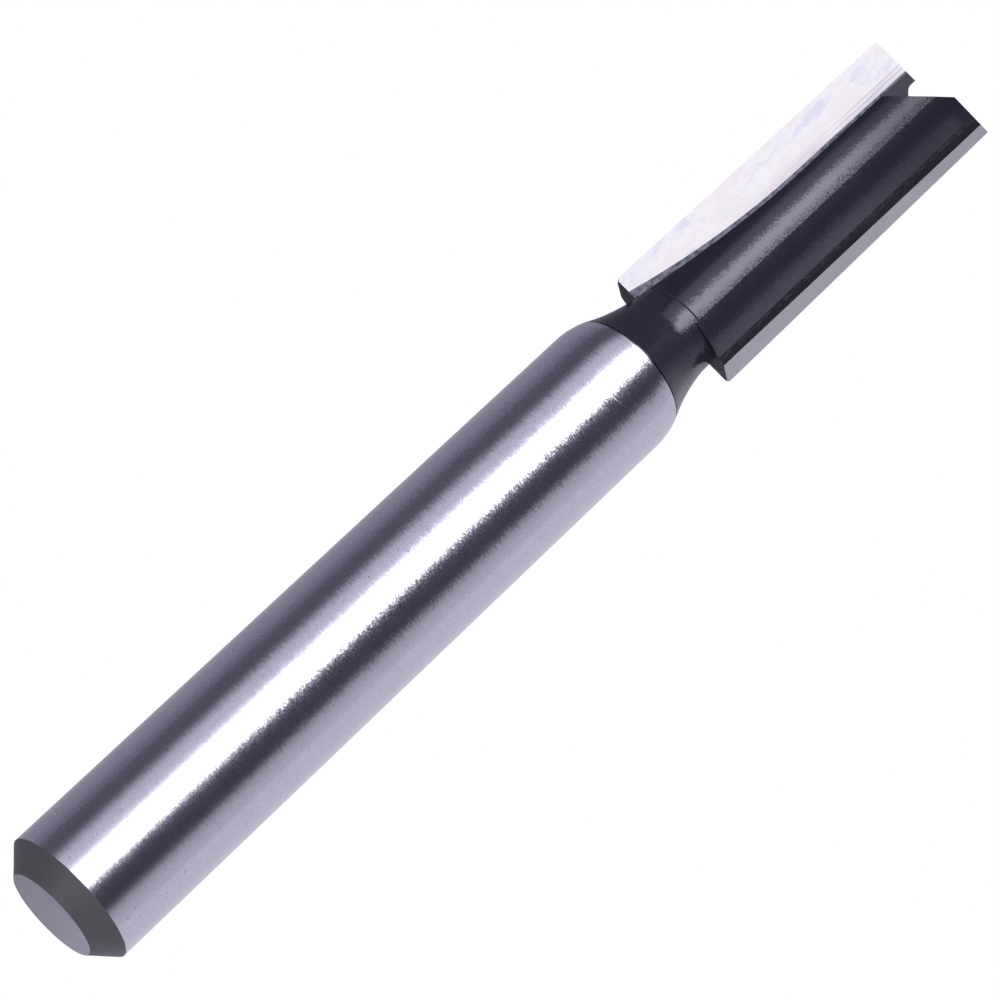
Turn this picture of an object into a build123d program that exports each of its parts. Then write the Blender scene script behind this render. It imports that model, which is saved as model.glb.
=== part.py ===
from build123d import *
import math
import os

# Two-flute straight router bit, all sizes in millimetres.
# Its axis is X, with the shank end towards -X, and the rake faces lie level.
# It is drawn from the shank end at x = 0, then moved along X so that the origin
# is on the axis, half way along the parallel part of the shank.

# ---- driving dimensions ----
SHANK_D = 6.0          # parallel shank diameter
CUT_D = 6.35           # cutting diameter over the two edges
TOTAL_L = 53.0         # shank end to cutting end
SHANK_L = 31.8         # end of the parallel part of the shank
CHAMFER_L = 0.95       # shank end chamfer, along the axis
CHAMFER_D = 4.1        # shank end face diameter
RING_X = 32.9          # edge where the bright shank meets the dark neck
RING_D = 5.56
SHOULDER_MID = (32.4, 2.925)
NECK_MID = (34.12, 2.33)
NECK_END_X = 35.35     # end of the neck fillet
NECK_D = 4.18
STEP_X = 36.0          # fine turned line between neck and head
STEP_W = 0.06
STEP_R = 2.055
CORE_D = 4.26          # head core diameter
TIP_X = 35.82          # back end of the carbide tips
RAKE_H0 = 0.28         # rake face below the axis at x = 36
RAKE_H1 = 0.59         # rake face below the axis at the cutting end
WALL_X = 44.8          # where the flute wall stops curving out
WALL_Y = 1.05
WALL_SLOPE = -0.001
WALL_R = 48.9          # run-out radius of the flute wall
FILLET_R = 0.22        # flute corner
TIP_IN_X = 45.5        # inner edge of the carbide tips
TIP_IN_Y = 1.385
TIP_IN_SLOPE = -0.008
TIP_IN_R = 47.5
TIP_BACK = 1.20        # carbide back face, distance from the axis
LAND_Y0 = 2.58         # back of the ground land at the two ends
LAND_Y1 = 2.67
BRAZE = 0.09           # braze film thickness
BACK_Y = 2.20          # outer edge of the steel behind the tip
BACK_PHI = 15.0        # where the back surface leaves the core circle
CLEAR_ANGLE = 20.0     # clearance ground behind the land, from level
CLEAR_Z = 1.11         # its height at the back edge of the land
END_RELIEF = 30.0      # end clearance angle
GASH_A = (50.42, 1.60)     # end gash, in the plane of the rake face
GASH_B = (52.70, -0.33)
GASH_R = 0.45
GASH_LEAN = (-0.16, -0.33, 1.0)
CORNER_CUT = 0.12      # small bevel on the first corner of each cutting edge

R = SHANK_D / 2
RC = CUT_D / 2
CORE = CORE_D / 2
END_X = TOTAL_L
K = (RAKE_H1 - RAKE_H0) / (END_X - 36.0)


def rake_h(x):
    return RAKE_H0 + K * (x - 36.0)


def wall_y(x):
    y = WALL_Y + WALL_SLOPE * (x - WALL_X)
    if x < WALL_X:
        y += (WALL_X - x) ** 2 / (2 * WALL_R)
    return y


def inner_y(x):
    y = TIP_IN_Y + TIP_IN_SLOPE * (x - TIP_IN_X)
    if x < TIP_IN_X:
        y += (TIP_IN_X - x) ** 2 / (2 * TIP_IN_R)
    return y


def edge_y(x):
    return math.sqrt(RC**2 - rake_h(x) ** 2)


def prism_x(points, x0, x1):
    # straight prism along X from a closed (y, z) outline
    wire = Wire.make_polygon([Vector(x0, y, z) for y, z in points], close=True)
    return Solid.extrude(Face(wire), Vector(x1 - x0, 0, 0))


def prism_dir(points, vec):
    # straight prism from a closed 3-D flat outline
    wire = Wire.make_polygon([Vector(*q) for q in points], close=True)
    return Solid.extrude(Face(wire), Vector(*vec))


def plan_prism(edges, vec):
    return Solid.extrude(Face(Wire(edges)), Vector(*vec))


def on_rake(x, y, dz=0.0):
    return Vector(x, y, -rake_h(x) + dz)


def turned(profile_edges):
    face = Face(Wire(profile_edges))
    return Solid.revolve(face, 360, Axis.X)


def other_side(shape):
    return shape.rotate(Axis.X, 180)


# ---- turned blank: shank, shoulder, neck, fine line, head core ----
def line(a, b):
    return Edge.make_line(Vector(a[0], a[1], 0), Vector(b[0], b[1], 0))


def arc(a, m, b):
    return Edge.make_three_point_arc(
        Vector(a[0], a[1], 0), Vector(m[0], m[1], 0), Vector(b[0], b[1], 0)
    )


s0 = STEP_X - STEP_W / 2
s1 = STEP_X + STEP_W / 2
pts = [
    (0, 0),
    (0, CHAMFER_D / 2),
    (CHAMFER_L, R),
    (SHANK_L, R),
    (RING_X, RING_D / 2),
    (NECK_END_X, NECK_D / 2),
    (s0, NECK_D / 2),
    (STEP_X, STEP_R),
    (s1, CORE),
    (END_X, CORE),
    (END_X, 0),
]
edges = []
for n in range(len(pts)):
    a, b = pts[n], pts[(n + 1) % len(pts)]
    if n == 3:
        edges.append(arc(a, SHOULDER_MID, b))
    elif n == 4:
        edges.append(arc(a, NECK_MID, b))
    else:
        edges.append(line(a, b))
blank = turned(edges).rotate(Axis.X, 90)

# ---- steel behind the tips: a back surface that leaves the core circle ----
phi = math.radians(BACK_PHI)
ty, tz = CORE * math.sin(phi), CORE * math.cos(phi)
by, bz = BACK_Y, TIP_BACK + BRAZE
dy, dz = by - ty, bz - tz
back_r = -(dy * dy + dz * dz) / (2 * (math.sin(phi) * dy + math.cos(phi) * dz))
cy, cz = ty - back_r * math.sin(phi), tz - back_r * math.cos(phi)
mid_a = (phi + math.asin((by - cy) / back_r)) / 2
my, mz = cy + back_r * math.sin(mid_a), cz + back_r * math.cos(mid_a)


def back_wing():
    # tip A side: y > 0, below the axis
    x0 = TIP_X
    e = [
        Edge.make_line(Vector(x0, 0.2, -0.2), Vector(x0, ty, -tz)),
        Edge.make_three_point_arc(
            Vector(x0, ty, -tz), Vector(x0, my, -mz), Vector(x0, by, -bz)
        ),
        Edge.make_line(Vector(x0, by, -bz), Vector(x0, 1.3, -bz)),
        Edge.make_line(Vector(x0, 1.3, -bz), Vector(x0, 0.2, -0.2)),
    ]
    return Solid.extrude(Face(Wire(e)), Vector(END_X - x0, 0, 0))


wing = back_wing()

# ---- shelf that carries the back end of the tip, level with the rake face ----
shelf = prism_dir(
    [
        (TIP_X, 0.0, -rake_h(TIP_X)),
        (END_X, 0.0, -rake_h(END_X)),
        (END_X, 0.0, -bz),
        (TIP_X, 0.0, -bz),
    ],
    (0, 2.6, 0),
)
steel = blank + wing + shelf
steel = steel + other_side(wing + shelf)


# ---- flute void above the rake plane ----
def curve_points(fn, x0, x1, n):
    return [(x0 + (x1 - x0) * t / n, fn(x0 + (x1 - x0) * t / n)) for t in range(n + 1)]


def plan_face(fn, x_start, join_x, y_out, x_end, z_of):
    # plan outline: run-out arc, straight wall, end, outside
    a = (x_start, fn(x_start))
    m = ((x_start + join_x) / 2, fn((x_start + join_x) / 2))
    j = (join_x, fn(join_x))
    e = (x_end, fn(x_end))
    v = [Vector(x, y, z_of(x)) for x, y in (a, m, j, e, (x_end, y_out), (x_start, y_out))]
    return Face(
        Wire(
            [
                Edge.make_three_point_arc(v[0], v[1], v[2]),
                Edge.make_line(v[2], v[3]),
                Edge.make_line(v[3], v[4]),
                Edge.make_line(v[4], v[5]),
                Edge.make_line(v[5], v[0]),
            ]
        )
    )


UP = Vector(math.sin(math.atan(K)), 0, math.cos(math.atan(K)))
flute = Solid.extrude(
    plan_face(wall_y, 34.6, WALL_X, 4.5, END_X + 1.0, lambda x: -rake_h(x)), UP * 5.0
)
corner = [
    e
    for e in flute.edges()
    if abs(e.center().Z + rake_h(e.center().X)) < 0.02
    and e.center().Y < 1.9
    and e.center().X < END_X
]
flute = flute.fillet(FILLET_R, corner)

# ---- end gash, same floor as the flute, its wall leaning back ----
gx0, gy0 = GASH_A
gx1, gy1 = GASH_B
ux, uy = gx1 - gx0, gy1 - gy0
ul = math.hypot(ux, uy)
ux, uy = ux / ul, uy / ul
turn = math.acos(ux)
cut_back = GASH_R * math.tan(turn / 2)
t0 = (gx1 - ux * cut_back, gy1 - uy * cut_back)
t1 = (gx1 + cut_back, gy1)
gc = (t1[0], gy1 + GASH_R)
ga = math.radians(-90) - turn / 2
tm = (gc[0] + GASH_R * math.cos(ga), gc[1] + GASH_R * math.sin(ga))
far = 4.5 - gy0        # the block runs on outboard, past the open side of the flute
ga_x, ga_y = gx0 + ux / uy * far, gy0 + far
g = [on_rake(*q) for q in ((ga_x, ga_y), t0, tm, t1, (END_X + 1.6, gy1), (END_X + 1.6, ga_y))]
gash = Solid.extrude(
    Face(
        Wire(
            [
                Edge.make_line(g[0], g[1]),
                Edge.make_three_point_arc(g[1], g[2], g[3]),
                Edge.make_line(g[3], g[4]),
                Edge.make_line(g[4], g[5]),
                Edge.make_line(g[5], g[0]),
            ]
        )
    ),
    Vector(*GASH_LEAN) * 4.2,
)

# the wall of the gash runs on past the web, above the height up0 over the gash floor
hx, hy = gx1 + ux / uy * -2.2, gy1 - 2.2


def gash_top(up0):
    lift = Vector(*GASH_LEAN) * up0
    outline = [
        on_rake(x, y) + lift
        for x, y in ((ga_x, ga_y), (hx, hy), (hx + 3.0, hy), (hx + 3.0, ga_y))
    ]
    return Solid.extrude(
        Face(Wire.make_polygon(outline, close=True)), Vector(*GASH_LEAN) * (4.2 - up0)
    )


# ---- end relief behind each end cutting edge ----
drop = 4.0
relief = prism_dir(
    [
        (END_X, 0.0, -RAKE_H1),
        (END_X + 2.0, 0.0, -RAKE_H1),
        (END_X + 2.0, 0.0, -RAKE_H1 - drop),
        (END_X - drop * math.tan(math.radians(END_RELIEF)), 0.0, -RAKE_H1 - drop),
    ],
    (0, 6.0, 0),
)

# ---- clearance ground behind the land: takes the back corner of tip and braze ----
ck = math.tan(math.radians(CLEAR_ANGLE))
LAND_Z = CLEAR_Z
cy0, cy1 = 1.9, 3.6


def clear_z(y):
    return -(LAND_Z - ck * (y - (LAND_Y0 + LAND_Y1) / 2))


clearance = prism_dir(
    [
        (TIP_X - 1.0, cy0, clear_z(cy0)),
        (TIP_X - 1.0, cy1, clear_z(cy1)),
        (TIP_X - 1.0, cy1, -4.0),
        (TIP_X - 1.0, cy0, -4.0),
    ],
    (END_X + 2.0 - TIP_X, 0, 0),
)

# ---- tip pocket in the steel ----
X0 = TIP_X
X1 = END_X
START = 34.6


def steel_in_y(x):
    return inner_y(x) - BRAZE


def plan_block(fn, z_low, height):
    # everything outboard of a plan curve, from z_low up, in front of the tip start
    block = Solid.extrude(
        plan_face(fn, START, TIP_IN_X, 4.5, END_X + 1.0, lambda x: z_low),
        Vector(0, 0, height),
    )
    return block - behind_start


behind_start = Solid.make_box(6.0, 12.0, 12.0, Plane(Vector(X0 - 6.0, -6.0, -6.0)))
# room above the rake plane, over the whole head
over_rake = prism_dir(
    [
        (30.0, -6.0, -rake_h(30.0)),
        (END_X + 3.0, -6.0, -rake_h(END_X + 3.0)),
        (END_X + 3.0, -6.0, 6.0),
        (30.0, -6.0, 6.0),
    ],
    (0, 12.0, 0),
)
pocket = plan_block(steel_in_y, -TIP_BACK - BRAZE, 3.0) - over_rake

# only the steel outboard of the back surface is ground with the land
clearance_steel = clearance & Solid.make_box(40.0, 6.0, 8.0, Plane(Vector(30.0, BACK_Y, -6.0)))
cuts = [flute, gash, relief, pocket, clearance_steel]
for c in cuts:
    steel = steel - c
    steel = steel - other_side(c)
steel = steel - gash_top(1.15) - other_side(gash_top(1.35))


# ---- carbide tips ----
def tip_section(x):
    ly = LAND_Y0 + (LAND_Y1 - LAND_Y0) * (x - X0) / (X1 - X0)
    h = rake_h(x)
    return Wire.make_polygon(
        [
            Vector(x, 1.0, -h),
            Vector(x, edge_y(x), -h),
            Vector(x, ly, -LAND_Z),
            Vector(x, ly - (TIP_BACK + 0.3 - LAND_Z) * (edge_y(x) - ly) / (LAND_Z - h), -TIP_BACK - 0.3),
            Vector(x, 1.0, -TIP_BACK - 0.3),
        ],
        close=True,
    )


slab = Solid.make_loft([tip_section(X0), tip_section(X1)], ruled=True)
keep = plan_block(inner_y, -TIP_BACK, 4.0)
cut_y = edge_y(X0)
first_corner = prism_dir(
    [
        (X0 - 0.1, cut_y - CORNER_CUT - 0.1, -3.0),
        (X0 + CORNER_CUT + 0.2, cut_y + 0.2, -3.0),
        (X0 - 0.1, cut_y + 0.2, -3.0),
    ],
    (0, 0, 4.0),
)
tip_a = (slab & keep) - clearance - relief - first_corner

# ---- braze film: under the back face and along the inner edge ----
film = plan_block(steel_in_y, -TIP_BACK - BRAZE, 3.0) - over_rake
beyond_end = Solid.make_box(6.0, 12.0, 12.0, Plane(Vector(END_X, -6.0, -6.0)))
tip_room = plan_block(inner_y, -TIP_BACK, 4.0)
braze_a = film - clearance - beyond_end - tip_room - relief


def one(shape):
    s = shape.solids()
    return max(s, key=lambda q: q.volume)


steel = one(steel)
tip_a = one(tip_a)
braze_a = one(braze_a)
tip_b = other_side(tip_a)
braze_b = other_side(braze_a)

GRIP_MID = (CHAMFER_L + SHANK_L) / 2
MOVE = Location(Vector(-GRIP_MID, 0, 0))
nodes = {
    "steel_body": steel,
    "carbide_tip_a": tip_a,
    "carbide_tip_b": tip_b,
    "braze_a": braze_a,
    "braze_b": braze_b,
}
os.makedirs("parts", exist_ok=True)
for name, shape in nodes.items():
    placed = MOVE * shape
    placed.label = name
    export_step(placed, "parts/" + name + ".step")
    bb = placed.bounding_box()
    print(name, "volume %.4f" % placed.volume, "valid", placed.is_valid, "solids", len(shape.solids()),
          "box", [round(v, 3) for v in (*bb.min, *bb.max)])
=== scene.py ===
import bpy
import math
from mathutils import Matrix, Vector

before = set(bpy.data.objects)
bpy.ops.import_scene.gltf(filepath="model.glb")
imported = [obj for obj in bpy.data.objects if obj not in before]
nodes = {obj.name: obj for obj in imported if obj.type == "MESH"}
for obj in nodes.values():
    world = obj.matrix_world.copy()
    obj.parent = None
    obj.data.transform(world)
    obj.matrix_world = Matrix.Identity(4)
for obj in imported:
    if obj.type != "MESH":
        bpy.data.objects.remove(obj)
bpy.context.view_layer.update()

MM = 0.001
HALF = 16.375        # station 0 (shank end) is at x = -16.375 mm
AXIS_Z = 0.0         # the bit's axis is on z = 0
FLOOR_Z = -0.003     # the lowest line of the shank


def st(station):
    """x in mm of a station measured from the shank end."""
    return station - HALF


# ------------------------------------------------------------------ node helpers
class Tree:
    def __init__(self, tree):
        self.t = tree
        self.n = tree.nodes
        self.l = tree.links

    def node(self, kind, **settings):
        nd = self.n.new(kind)
        for k, v in settings.items():
            setattr(nd, k, v)
        return nd

    def put(self, socket, value):
        if isinstance(value, bpy.types.NodeSocket):
            self.l.new(value, socket)
        elif value is not None:
            socket.default_value = value

    def math(self, op, a, b=None, c=None, clamp=False):
        nd = self.node("ShaderNodeMath", operation=op, use_clamp=clamp)
        self.put(nd.inputs[0], a)
        if b is not None:
            self.put(nd.inputs[1], b)
        if c is not None:
            self.put(nd.inputs[2], c)
        return nd.outputs[0]

    def vmath(self, op, a, b=None, scale=None):
        nd = self.node("ShaderNodeVectorMath", operation=op)
        self.put(nd.inputs[0], a)
        if b is not None:
            self.put(nd.inputs[1], b)
        if scale is not None:
            self.put(nd.inputs["Scale"], scale)
        return nd.outputs["Value"] if op in ("DOT_PRODUCT", "LENGTH", "DISTANCE") else nd.outputs["Vector"]

    def sep(self, v):
        nd = self.node("ShaderNodeSeparateXYZ")
        self.put(nd.inputs[0], v)
        return nd.outputs

    def comb(self, x, y, z):
        nd = self.node("ShaderNodeCombineXYZ")
        for s, v in zip(nd.inputs, (x, y, z)):
            self.put(s, v)
        return nd.outputs[0]

    def noise(self, vector, scale=1.0, detail=2.0, rough=0.5, dims="3D"):
        nd = self.node("ShaderNodeTexNoise", noise_dimensions=dims)
        self.put(nd.inputs["Vector"], vector)
        nd.inputs["Scale"].default_value = scale
        nd.inputs["Detail"].default_value = detail
        nd.inputs["Roughness"].default_value = rough
        return nd.outputs["Fac"]

    def ramp(self, fac, stops, mode="LINEAR"):
        nd = self.node("ShaderNodeValToRGB")
        cr = nd.color_ramp
        cr.interpolation = mode
        while len(cr.elements) > 1:
            cr.elements.remove(cr.elements[-1])
        cr.elements[0].position = stops[0][0]
        cr.elements[0].color = (*stops[0][1], 1.0)
        for pos, col in stops[1:]:
            e = cr.elements.new(pos)
            e.color = (*col, 1.0)
        self.put(nd.inputs[0], fac)
        return nd.outputs[0]

    def mix(self, fac, a, b, blend="MIX"):
        nd = self.node("ShaderNodeMix", data_type="RGBA", blend_type=blend)
        self.put(nd.inputs[0], fac)
        self.put(nd.inputs[6], a if not isinstance(a, tuple) else (*a, 1.0))
        self.put(nd.inputs[7], b if not isinstance(b, tuple) else (*b, 1.0))
        return nd.outputs[2]

    def step(self, value, lo, hi):
        """0 below lo, 1 above hi, smooth between."""
        nd = self.node("ShaderNodeMapRange", interpolation_type="SMOOTHSTEP")
        self.put(nd.inputs[0], value)
        nd.inputs[1].default_value = lo
        nd.inputs[2].default_value = hi
        nd.inputs[3].default_value = 0.0
        nd.inputs[4].default_value = 1.0
        return nd.outputs[0]


def new_material(name):
    m = bpy.data.materials.new(name)
    m.use_nodes = True
    m.node_tree.nodes.clear()
    t = Tree(m.node_tree)
    out = t.node("ShaderNodeOutputMaterial")
    bsdf = t.node("ShaderNodeBsdfPrincipled")
    t.l.new(bsdf.outputs[0], out.inputs[0])
    return m, t, bsdf


def coords(t):
    """object coordinates in millimetres, with z measured from the bit's axis."""
    tc = t.node("ShaderNodeTexCoord")
    mm = t.vmath("SCALE", tc.outputs["Object"], scale=1000.0)
    x, y, z = t.sep(mm)
    zz = t.math("SUBTRACT", z, AXIS_Z)
    return x, y, zz


def axis_frame(t, x, y, z):
    """radial and round-the-bit unit vectors at the point."""
    radial = t.vmath("NORMALIZE", t.comb(0.0, y, z))
    around = t.comb(0.0, t.math("MULTIPLY", t.sep(radial)[2], -1.0), t.sep(radial)[1])
    return radial, around


def tilted_normal(t, base, along, a_fac, around, r_fac):
    """base normal leaned a little along two directions."""
    v = t.vmath("ADD", base, t.vmath("SCALE", along, scale=a_fac))
    v = t.vmath("ADD", v, t.vmath("SCALE", around, scale=r_fac))
    return t.vmath("NORMALIZE", v)


# ------------------------------------------------------------------ shank: ground steel
def make_shank():
    m, t, b = new_material("shank_ground_steel")
    x, y, z = coords(t)
    radial, around = axis_frame(t, x, y, z)
    geo = t.node("ShaderNodeNewGeometry")
    # grinding marks run round the shank: fine along x, longer the other way
    fine = t.noise(t.comb(t.math("MULTIPLY", x, 23.0), t.math("MULTIPLY", y, 3.4), t.math("MULTIPLY", z, 3.4)), 1.0, 1.0, 0.5)
    broad = t.noise(t.comb(t.math("MULTIPLY", x, 5.0), t.math("MULTIPLY", y, 0.8), t.math("MULTIPLY", z, 0.8)), 1.0, 2.0, 0.5)
    grain = t.noise(t.comb(t.math("MULTIPLY", x, 22.0), t.math("MULTIPLY", y, 12.0), t.math("MULTIPLY", z, 12.0)), 1.0, 1.0, 0.5)
    r = t.math("ADD", t.math("MULTIPLY", t.math("SUBTRACT", fine, 0.5), 0.12), t.math("MULTIPLY", t.math("SUBTRACT", broad, 0.5), 0.035))
    r = t.math("ADD", r, t.math("MULTIPLY", t.math("SUBTRACT", grain, 0.5), 0.17))
    a = t.math("MULTIPLY", t.math("SUBTRACT", grain, 0.5), 0.10)
    # the marks are stronger towards the neck
    more = t.math("ADD", 0.38, t.math("MULTIPLY", t.step(x, st(2.0), st(17.0)), 0.62))
    r = t.math("MULTIPLY", r, more)
    # one light scratch crosses the grinding marks near the neck
    turn = t.math("ARCTAN2", t.math("MULTIPLY", y, -1.0), z)
    path = t.math("ADD", st(30.36), t.math("MULTIPLY", turn, 0.72))
    away = t.math("ABSOLUTE", t.math("SUBTRACT", x, t.math("SUBTRACT", path, 0.10)))
    scratch = t.math("MULTIPLY", t.math("SUBTRACT", 1.0, t.step(away, 0.008, 0.030)),
                     t.math("MULTIPLY", t.step(turn, 0.16, 0.20), t.math("SUBTRACT", 1.0, t.step(turn, 0.38, 0.44))))
    r = t.math("ADD", r, t.math("MULTIPLY", scratch, -0.09))
    # the rounding at the neck is so slight that the bands run on nearly straight
    soft = t.vmath("NORMALIZE", t.vmath("ADD", geo.outputs["Normal"], t.vmath("SCALE", radial, scale=1.3)))
    base = t.mix(t.step(x, st(2.0), st(3.0)), geo.outputs["Normal"], soft)
    nrm = tilted_normal(t, base, (1, 0, 0), a, around, r)
    b.inputs["Metallic"].default_value = 1.0
    cloud = t.noise(t.comb(x, y, z), 1.3, 3.0, 0.55)
    speck = t.noise(t.comb(x, y, z), 9.0, 1.0, 0.5)
    col = t.mix(cloud, (0.585, 0.570, 0.64), (0.635, 0.620, 0.68))
    col = t.mix(t.math("MULTIPLY", t.step(grain, 0.36, 0.58), 0.34), col, (0.36, 0.35, 0.41))
    col = t.mix(t.step(speck, 0.71, 0.76), col, (0.34, 0.33, 0.38))
    # thin dark line where the bright shank meets the neck
    rim = t.step(x, st(32.80), st(32.83))
    col = t.mix(rim, col, (0.05, 0.05, 0.06))
    t.put(b.inputs["Base Color"], col)
    t.put(b.inputs["Roughness"], t.math("ADD", 0.13, t.math("MULTIPLY", cloud, 0.05)))
    t.put(b.inputs["Normal"], nrm)
    return m


def make_turned(name, lo, hi, metal, rough, lines):
    """turned faces of the shank end: dull, with faint rings from the lathe."""
    m, t, b = new_material(name)
    x, y, z = coords(t)
    r = t.math("SQRT", t.math("ADD", t.math("MULTIPLY", y, y), t.math("MULTIPLY", z, z)))
    rings = t.noise(t.comb(t.math("MULTIPLY", r, lines), t.math("MULTIPLY", x, lines), 0.0), 1.0, 2.0, 0.5)
    cloud = t.noise(t.comb(x, y, z), 0.8, 3.0, 0.6)
    geo = t.node("ShaderNodeNewGeometry")
    radial, around = axis_frame(t, x, y, z)
    nrm = tilted_normal(t, geo.outputs["Normal"], radial, t.math("MULTIPLY", t.math("SUBTRACT", rings, 0.5), 0.10), around,
                        t.math("MULTIPLY", t.math("SUBTRACT", cloud, 0.5), 0.05))
    b.inputs["Metallic"].default_value = metal
    t.put(b.inputs["Base Color"], t.mix(t.math("ADD", t.math("MULTIPLY", rings, 0.35), t.math("MULTIPLY", cloud, 0.65)), lo, hi))
    t.put(b.inputs["Roughness"], t.math("ADD", rough, t.math("MULTIPLY", rings, 0.08)))
    t.put(b.inputs["Normal"], nrm)
    return m


# ------------------------------------------------------------------ head: dark smooth steel
def make_dark(name="head_dark_steel", base=(0.010, 0.010, 0.0165), tint=(0.84, 0.84, 1.0), ior=1.66, grit_a=0.24, rough=0.17, neck=True):
    m, t, b = new_material(name)
    x, y, z = coords(t)
    radial, around = axis_frame(t, x, y, z)
    geo = t.node("ShaderNodeNewGeometry")
    # polishing marks cross the surface at a slant
    sl = t.math("ADD", x, t.math("MULTIPLY", y, 0.9))
    fine = t.noise(t.comb(t.math("MULTIPLY", sl, 10.0), t.math("MULTIPLY", y, 4.0), t.math("MULTIPLY", z, 4.0)), 1.0, 2.0, 0.6)
    grit = t.noise(t.comb(t.math("MULTIPLY", x, 15.0), t.math("MULTIPLY", y, 12.0), t.math("MULTIPLY", z, 12.0)), 1.0, 1.0, 0.5)
    r = t.math("ADD", t.math("MULTIPLY", t.math("SUBTRACT", fine, 0.5), 0.10), t.math("MULTIPLY", t.math("SUBTRACT", grit, 0.5), grit_a))
    a = t.math("MULTIPLY", t.math("SUBTRACT", grit, 0.5), 0.10)
    # v grows over the back of the head towards the blade behind it, and is negative on the flute side
    v = t.math("MULTIPLY", t.math("MULTIPLY", y, t.math("SIGN", z)), -1.0)
    if neck:
        # the back of the head is relieved: a little flatter by the flute, rounder by the blade
        r = t.math("ADD", r, t.math("ADD", -0.075, t.math("MULTIPLY", t.step(v, 0.6, 2.1), 0.21)))
    nrm = tilted_normal(t, geo.outputs["Normal"], (1, 0, 0), a, around, r)
    cloud = t.noise(t.comb(x, y, z), 0.9, 3.0, 0.55)
    b.inputs["Metallic"].default_value = 0.0
    b.inputs["IOR"].default_value = ior
    b.inputs["Specular Tint"].default_value = (*tint, 1.0)
    col = t.mix(cloud, base, tuple(c * 1.5 for c in base))
    t.put(b.inputs["Base Color"], col)
    if neck:
        # the neck is duller than the polished head, and the head reflects less towards the flute and the cutting end
        edge = t.math("ADD", x, t.math("MULTIPLY", t.math("SUBTRACT", fine, 0.5), 0.5))
        edge = t.math("SUBTRACT", edge, t.math("MULTIPLY", t.step(t.math("ABSOLUTE", v), 0.7, 1.1), 0.85))
        dull = t.math("ADD", 0.012, t.math("MULTIPLY", t.step(v, 0.4, 1.3), 0.17))
        on = t.step(edge, st(34.85), st(35.15))
        bright = t.math("SUBTRACT", 0.5, t.math("MULTIPLY", t.step(t.math("MULTIPLY", v, -1.0), 0.58, 0.92), 0.46))
        bright = t.math("ADD", bright, t.math("MULTIPLY", t.step(v, 1.0, 1.5), 0.18))
        t.put(b.inputs["Base Color"], t.mix(on, t.mix(cloud, tuple(c * 1.5 for c in base), tuple(c * 2.0 for c in base)), col))
        level = t.math("ADD", t.math("MULTIPLY", dull, t.math("SUBTRACT", 1.0, on)), t.math("MULTIPLY", bright, on))
        fade = t.math("SUBTRACT", 1.0, t.math("MULTIPLY", t.step(x, st(43.5), st(50.5)), 0.50))
        # the last bit before the end edge is duller on the blade side
        last = t.math("MULTIPLY", t.step(x, st(51.4), st(52.1)), t.step(v, 0.5, 0.9))
        fade = t.math("MULTIPLY", fade, t.math("SUBTRACT", 1.0, t.math("MULTIPLY", last, 0.7)))
        t.put(b.inputs["Specular IOR Level"], t.math("MULTIPLY", level, fade))
    t.put(b.inputs["Roughness"], t.math("ADD", rough, t.math("MULTIPLY", cloud, 0.05)))
    t.put(b.inputs["Normal"], nrm)
    return m


# ------------------------------------------------------------------ carbide
def make_carbide(name, lo, hi, rough, wobble):
    m, t, b = new_material(name)
    x, y, z = coords(t)
    geo = t.node("ShaderNodeNewGeometry")
    lines = t.noise(t.comb(t.math("MULTIPLY", x, 0.35), t.math("MULTIPLY", y, 9.0), t.math("MULTIPLY", z, 9.0)), 1.0, 2.0, 0.55)
    cloud = t.noise(t.comb(t.math("MULTIPLY", x, 0.45), t.math("MULTIPLY", y, 0.9), z), 1.0, 2.0, 0.5)
    nrm = tilted_normal(t, geo.outputs["Normal"], (1, 0, 0), t.math("MULTIPLY", t.math("SUBTRACT", cloud, 0.5), wobble), (0, 1, 0),
                        t.math("MULTIPLY", t.math("SUBTRACT", lines, 0.5), wobble))
    b.inputs["Metallic"].default_value = 1.0
    t.put(b.inputs["Base Color"], t.mix(cloud, lo, hi))
    t.put(b.inputs["Roughness"], t.math("ADD", rough, t.math("MULTIPLY", lines, 0.08)))
    t.put(b.inputs["Normal"], nrm)
    return m


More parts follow.
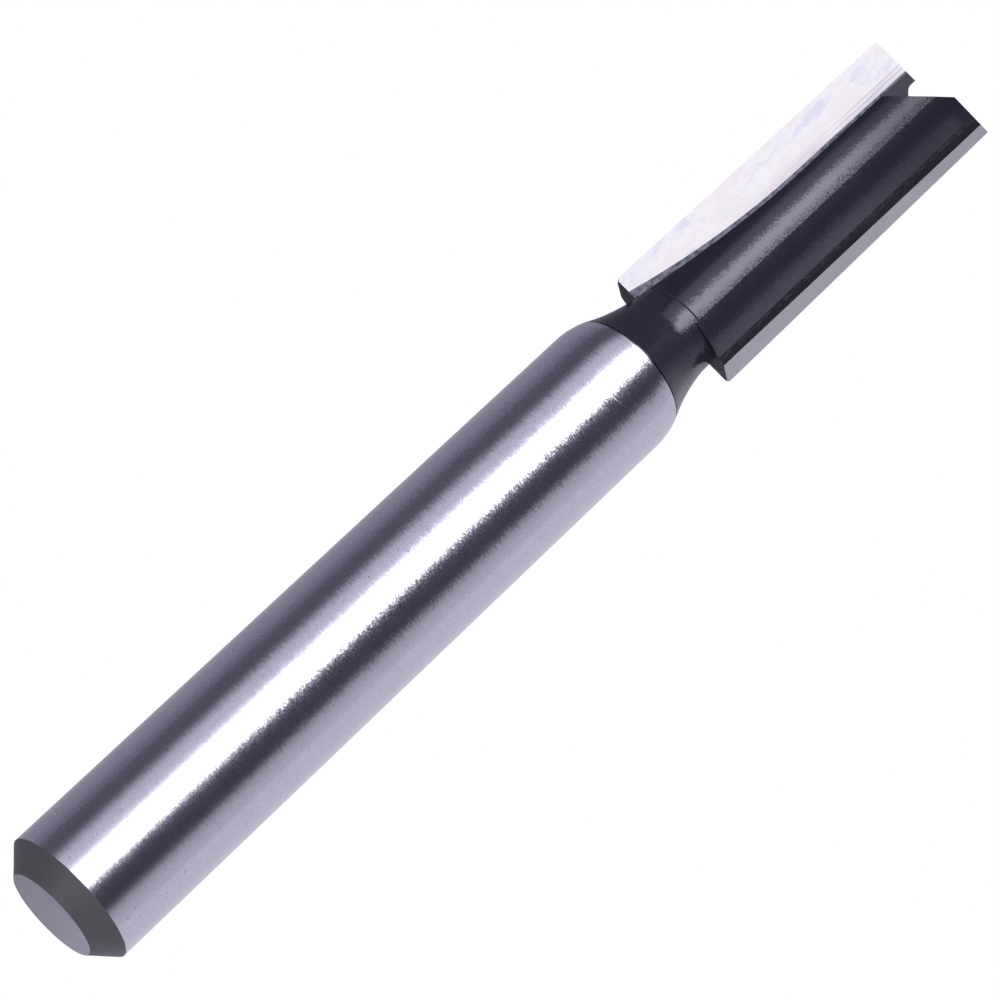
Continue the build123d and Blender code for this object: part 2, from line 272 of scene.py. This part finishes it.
def make_rake():
    """ground rake face: pale, with soft lavender, rose and bluish patches, and darker streaks along its inner edge that
    are a painted reflection of the dark flute wall.
    """
    m, t, b = new_material("carbide_rake_face")
    x, y, z = coords(t)
    geo = t.node("ShaderNodeNewGeometry")
    side = t.math("ABSOLUTE", y)
    base = t.comb(t.math("MULTIPLY", x, 0.30), t.math("MULTIPLY", y, 0.85), z)
    warp = t.noise(t.comb(t.math("MULTIPLY", x, 0.8), t.math("MULTIPLY", y, 1.6), t.math("ADD", z, 7.0)), 1.0, 3.0, 0.6)
    patch = t.noise(t.vmath("ADD", base, t.comb(warp, warp, 0.0)), 1.6, 2.0, 0.55)
    col = t.ramp(patch, [(0.30, (0.245, 0.238, 0.280)), (0.42, (0.285, 0.280, 0.300)), (0.50, (0.305, 0.303, 0.305)),
                         (0.58, (0.305, 0.282, 0.296)), (0.66, (0.302, 0.302, 0.298)), (0.76, (0.272, 0.288, 0.302))])
    # painted reflection of the dark flute wall: darker streaks beside the inner edge, stronger towards the cutting end
    inner = t.math("ADD", 1.385, t.math("DIVIDE", t.math("POWER", t.math("MAXIMUM", t.math("SUBTRACT", st(45.5), x), 0.0), 2.0), 95.0))
    off = t.math("SUBTRACT", side, inner)
    line = t.noise(t.comb(t.math("MULTIPLY", x, 0.12), t.math("MULTIPLY", off, 5.5), 0.0), 1.0, 2.0, 0.55)
    near = t.math("SUBTRACT", 1.0, t.step(off, 0.12, 0.62))
    grow = t.math("ADD", 0.25, t.math("MULTIPLY", t.step(x, st(42.0), st(52.0)), 0.75))
    painted_wall_reflection = t.math("MULTIPLY", t.math("MULTIPLY", near, grow), t.step(line, 0.38, 0.62))
    col = t.mix(t.math("MULTIPLY", painted_wall_reflection, 0.75), col, (0.165, 0.145, 0.19))
    b.inputs["Metallic"].default_value = 1.0
    t.put(b.inputs["Base Color"], col)
    t.put(b.inputs["Roughness"], t.math("ADD", 0.38, t.math("MULTIPLY", patch, 0.08)))
    lines = t.noise(t.comb(t.math("MULTIPLY", x, 0.5), t.math("MULTIPLY", y, 9.0), 0.0), 1.0, 2.0, 0.55)
    nrm = tilted_normal(t, geo.outputs["Normal"], (1, 0, 0), t.math("MULTIPLY", t.math("SUBTRACT", warp, 0.5), 0.05), (0, 1, 0),
                        t.math("MULTIPLY", t.math("SUBTRACT", lines, 0.5), 0.05))
    t.put(b.inputs["Normal"], nrm)
    return m


def make_braze(name, lo, hi, rough):
    m, t, b = new_material(name)
    x, y, z = coords(t)
    blot = t.noise(t.comb(t.math("MULTIPLY", x, 3.0), t.math("MULTIPLY", y, 5.0), t.math("MULTIPLY", z, 5.0)), 1.0, 3.0, 0.6)
    b.inputs["Metallic"].default_value = 1.0
    t.put(b.inputs["Base Color"], t.mix(t.step(blot, 0.35, 0.65), lo, hi))
    t.put(b.inputs["Roughness"], t.math("ADD", rough, t.math("MULTIPLY", blot, 0.2)))
    return m


MATS = {
    "shank": make_shank(),
    # painted shade: the bevel is the shank's own steel, given a near-black, half-metallic dull colour
    "chamfer": make_turned("shank_bevel_painted_shade", (0.055, 0.051, 0.058), (0.085, 0.078, 0.089), 0.35, 0.46, 9.0),
    "endface": make_turned("shank_end_turned", (0.33, 0.325, 0.37), (0.46, 0.455, 0.50), 1.0, 0.36, 7.0),
    "dark": make_dark(),
    "flute": make_dark("flute_dark_steel", (0.018, 0.018, 0.028), (0.9, 0.9, 1.0), 1.22, 0.10, 0.30, False),
    "corner": make_braze("flute_ground_corner", (0.020, 0.020, 0.028), (0.060, 0.058, 0.074), 0.22),
    "rake": make_rake(),
    "land": make_carbide("carbide_ground_land", (0.374, 0.383, 0.398), (0.466, 0.477, 0.492), 0.30, 0.05),
    "tipside": make_carbide("carbide_other_faces", (0.14, 0.14, 0.17), (0.20, 0.20, 0.24), 0.18, 0.04),
    "braze": make_braze("braze_edge", (0.15, 0.15, 0.185), (0.18, 0.18, 0.215), 0.16),
    "seam": make_braze("braze_seam", (0.028, 0.027, 0.040), (0.075, 0.072, 0.095), 0.28),
    "line": make_dark("turned_line", (0.030, 0.030, 0.042), (0.9, 0.9, 1.0), 1.15, 0.10, 0.40, False),
    "start": make_braze("blade_start_faces", (0.030, 0.030, 0.038), (0.065, 0.065, 0.075), 0.30),
}


# ------------------------------------------------------------------ which face is which
def paint(obj, keys, choose):
    obj.data.materials.clear()
    for k in keys:
        obj.data.materials.append(MATS[k])
    for p in obj.data.polygons:
        c = p.center * 1000.0
        p.material_index = keys.index(choose(c.x, c.y, c.z - AXIS_Z, p.normal))


def rake_h(xx):
    return 0.28 + (0.59 - 0.28) / 17.0 * (xx + HALF - 36.0)


def steel_choice(x, y, z, n):
    s = x + HALF
    r = math.hypot(y, z)
    if s < 0.01:
        return "endface"
    if s < 0.949:
        return "chamfer"
    if s < 32.899:
        return "shank"
    side = 1.0 if y > 0 else -1.0
    yy, zz, nz, ny = y * side, z * side, n.z * side, n.y * side
    h = rake_h(x)
    if abs(s - 35.82) < 0.02 and n.x < -0.8:
        return "start"
    if 35.93 < s < 36.07 and r < 2.129 and r > 2.0 and (abs(n.x) > 0.5 or r < 2.10):
        return "line"
    if s > 34.9 and yy > 0.6 and zz > -h - 0.01 and zz < -h + 0.25 and nz > 0.03 and r < 3.0 and abs(n.x) < 0.3 and s < 50.5:
        return "corner"
    if s > 34.9 and (ny > 0.8 and abs(n.x) < 0.45 and zz > -h - 0.02 and r < 2.11):
        return "flute"
    if s > 50.0 and nz > 0.9 and r < 2.0:
        return "flute"
    return "dark"


def tip_choice(x, y, z, n):
    side = 1.0 if y > 0 else -1.0
    yy, zz, nz, ny = y * side, z * side, n.z * side, n.y * side
    if nz > 0.9:
        return "rake"
    if n.x < -0.8:
        return "start"
    if ny > 0.5 and abs(n.x) < 0.3:
        return "land"
    return "tipside"


paint(nodes["steel_body"], ["shank", "chamfer", "endface", "dark", "flute", "corner", "line", "start"], steel_choice)
for nm in ("carbide_tip_a", "carbide_tip_b"):
    paint(nodes[nm], ["rake", "land", "tipside", "start"], tip_choice)
for nm in ("braze_a", "braze_b"):
    paint(nodes[nm], ["braze", "seam", "start"], lambda x, y, z, n: "seam" if n.z * (1.0 if y > 0 else -1.0) > 0.9 else ("start" if n.x < -0.8 else "braze"))

# ------------------------------------------------------------------ floor
me = bpy.data.meshes.new("floor")
S = 0.9
me.from_pydata([(-S, -S, FLOOR_Z), (S, -S, FLOOR_Z), (S, S, FLOOR_Z), (-S, S, FLOOR_Z)], [], [(0, 1, 2, 3)])
floor = bpy.data.objects.new("floor", me)
bpy.context.scene.collection.objects.link(floor)
fm = bpy.data.materials.new("floor_pale")
fm.use_nodes = True
fm.node_tree.nodes.clear()
t = Tree(fm.node_tree)
out = t.node("ShaderNodeOutputMaterial")
em = t.node("ShaderNodeEmission")
tc = t.node("ShaderNodeTexCoord")
px, py, pz = t.sep(t.vmath("SCALE", tc.outputs["Object"], scale=1000.0))
# the floor is bright on the -y side and falls off to grey on the +y side in reflections; the drop to grey right under
# the bit is a painted shadow of the bit
glow_and_painted_shadow = t.ramp(
    t.math("ADD", t.math("DIVIDE", py, 120.0), 0.5, clamp=True),
    [
        (0.0, (0.80, 0.76, 0.88)),
        (0.46, (0.80, 0.76, 0.88)),
        (0.50, (0.52, 0.50, 0.58)),
        (0.56, (0.36, 0.34, 0.42)),
        (0.72, (0.25, 0.235, 0.31)),
        (1.0, (0.22, 0.205, 0.28)),
    ],
)
lp = t.node("ShaderNodeLightPath")
col = t.mix(lp.outputs["Is Camera Ray"], glow_and_painted_shadow, (1.0, 1.0, 1.0))
t.put(em.inputs[0], col)
t.l.new(em.outputs[0], out.inputs[0])
me.materials.append(fm)

# ------------------------------------------------------------------ studio: light by direction round the bit's axis
world = bpy.data.worlds.new("studio")
bpy.context.scene.world = world
world.use_nodes = True
world.node_tree.nodes.clear()
t = Tree(world.node_tree)
wout = t.node("ShaderNodeOutputWorld")
bg = t.node("ShaderNodeBackground")
tc = t.node("ShaderNodeTexCoord")
dx, dy, dz = t.sep(tc.outputs["Generated"])
ang = t.math("MULTIPLY", t.math("ARCTAN2", t.math("MULTIPLY", dy, -1.0), dz), 180.0 / math.pi)
fac = t.math("ADD", t.math("DIVIDE", ang, 360.0), 0.5)


def deg(a):
    return a / 360.0 + 0.5


W = (1.0, 0.985, 1.03)
L = (0.95, 0.92, 1.07)
D = (0.97, 0.92, 1.24)


def g(v, tint=L):
    return tuple(v * k for k in tint)


SCALE = 5.2          # ramp colours stay under 1, the strength brings them back
stops = [
    (-180, g(0.34, D)), (-118, g(0.25, D)), (-100, g(0.20, D)), (-88, g(0.15, D)), (-68, g(0.125, D)), (-61, g(0.20, D)), (-55, g(0.44)),
    (-48, g(0.74)), (-34, g(0.86)), (-29, g(1.05)), (-25, g(1.5)), (-21, g(2.9, W)), (-16, g(4.9, W)), (1, g(4.9, W)), (6, g(3.9, W)),
    (10, g(1.9, W)), (13, g(0.80)), (16, g(0.34)), (20, g(0.14, D)), (25, g(0.085, D)), (44, g(0.070, D)), (52, g(0.10, D)),
    (57, g(0.22)), (62, g(0.43)), (68, g(0.57)), (80, g(0.69)), (180, g(0.75)),
]
ramp = t.ramp(fac, [(deg(a), tuple(v / SCALE for v in c)) for a, c in stops])
# the room is dim at both ends of the bit
tilt = t.math("MULTIPLY", t.math("ARCSINE", dx), 180.0 / math.pi)
lo_end = t.step(tilt, -88.0, -52.0)
hi_end = t.math("SUBTRACT", 1.0, t.step(tilt, 66.0, 86.0))
k = t.math("MULTIPLY", lo_end, hi_end)
end_tone = g(0.16)
light = t.mix(k, tuple(v / SCALE for v in end_tone), ramp)
# the room itself is a plain white sweep to the eye
lpw = t.node("ShaderNodeLightPath")
t.put(bg.inputs[0], t.mix(lpw.outputs["Is Camera Ray"], light, (1.0 / SCALE, 1.0 / SCALE, 1.0 / SCALE)))
bg.inputs[1].default_value = SCALE
t.l.new(bg.outputs[0], wout.inputs[0])

# a soft overhead panel
ld = bpy.data.lights.new("panel", "AREA")
ld.shape = "RECTANGLE"
ld.size = 0.5
ld.size_y = 0.35
ld.energy = 0.05
lo = bpy.data.objects.new("panel", ld)
bpy.context.scene.collection.objects.link(lo)
lo.location = (0.05, 0.12, 0.7)
lo.rotation_euler = (Vector(lo.location)).to_track_quat("Z", "Y").to_euler()

# ------------------------------------------------------------------ camera
cam_d = bpy.data.cameras.new("camera")
cam = bpy.data.objects.new("camera", cam_d)
bpy.context.scene.collection.objects.link(cam)
cam_d.sensor_width = 36.0
cam_d.lens = 3737.7 / 1000.0 * 36.0
cam_d.clip_start = 0.01
right = Vector((0.670637, -0.701382, 0.241473))
down = Vector((-0.631793, -0.710659, -0.309518))
fwd = Vector((0.388695, 0.055013, -0.919723))
up, back = -down, -fwd
cam.matrix_world = Matrix(
    (
        (right.x, up.x, back.x, (-33.53 - HALF) * MM),
        (right.y, up.y, back.y, -8.484 * MM),
        (right.z, up.z, back.z, (138.444 + AXIS_Z) * MM),
        (0, 0, 0, 1),
    )
)
bpy.context.scene.camera = cam
bpy.context.scene.view_settings.view_transform = "Standard"
